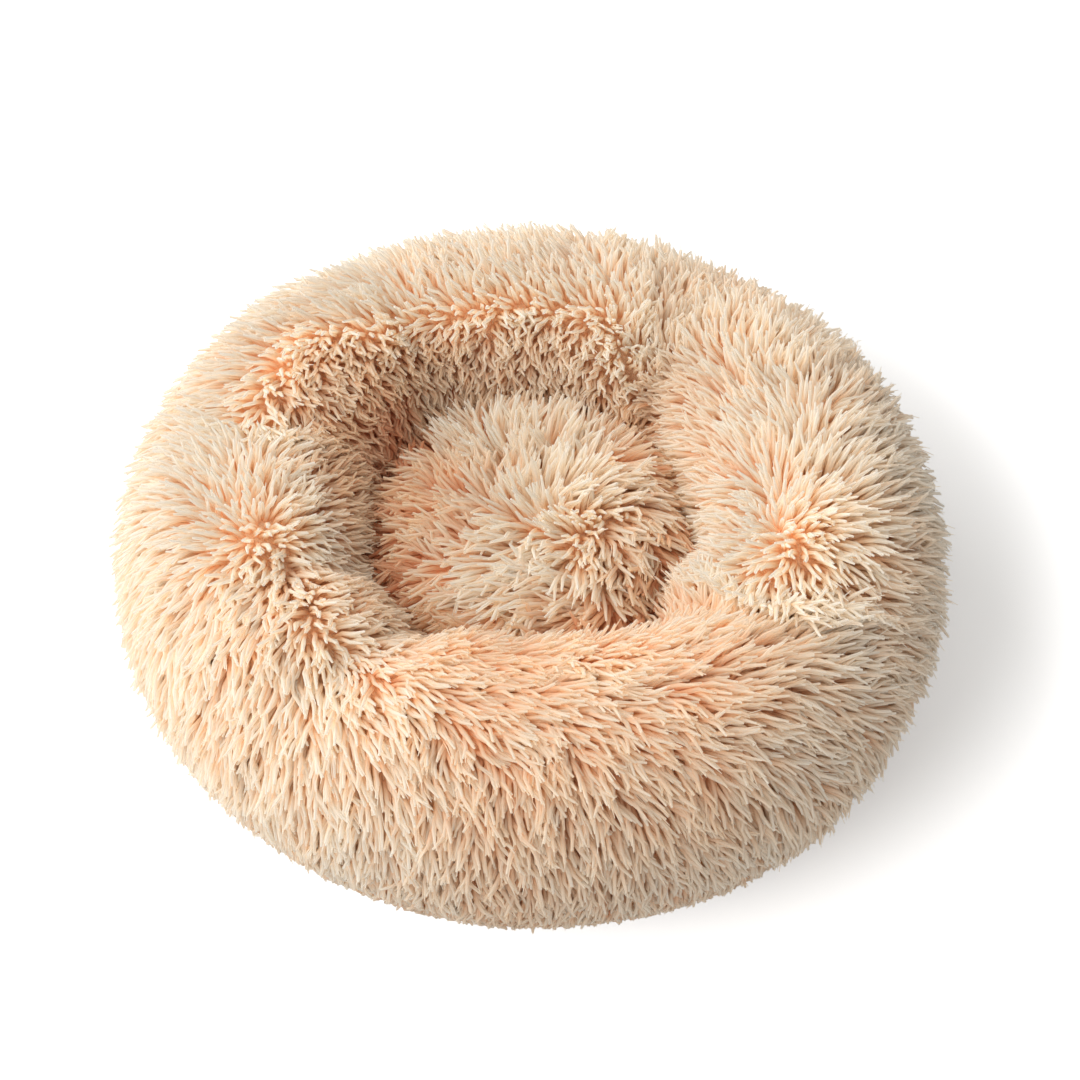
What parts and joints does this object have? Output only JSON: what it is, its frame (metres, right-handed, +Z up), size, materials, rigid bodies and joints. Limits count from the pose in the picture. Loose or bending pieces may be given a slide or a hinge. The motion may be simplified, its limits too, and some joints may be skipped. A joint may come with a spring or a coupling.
{
  "type": "donut pet bed",
  "caption": "Round stuffed plush bolster with a sunken plush pad inside, sewn to a flat anti-slip base fabric.",
  "frame": {"origin": "middle of the bed's outline, on the floor under the base fabric", "axes": "+Z up out of the nest; +Y to the back of the bed as pictured; +X to the right"},
  "size_m": [0.4976, 0.496, 0.153],
  "materials": {
    "bolster_plush": "matte",
    "pad_plush": "matte",
    "polyester_fibre": "matte",
    "lining_cloth": "matte",
    "anti_slip_fabric": "matte",
    "sewing_thread": "satin"
  },
  "bodies": {
    "root": {"bolster_cover": "bolster_plush", "bolster_filling": "polyester_fibre", "pad_cover": "pad_plush", "pad_filling": "polyester_fibre", "pad_lining": "lining_cloth", "base_fabric": "anti_slip_fabric", "outer_seam_thread": "sewing_thread", "inner_seam_thread": "sewing_thread"}
  },
  "joints": []
}
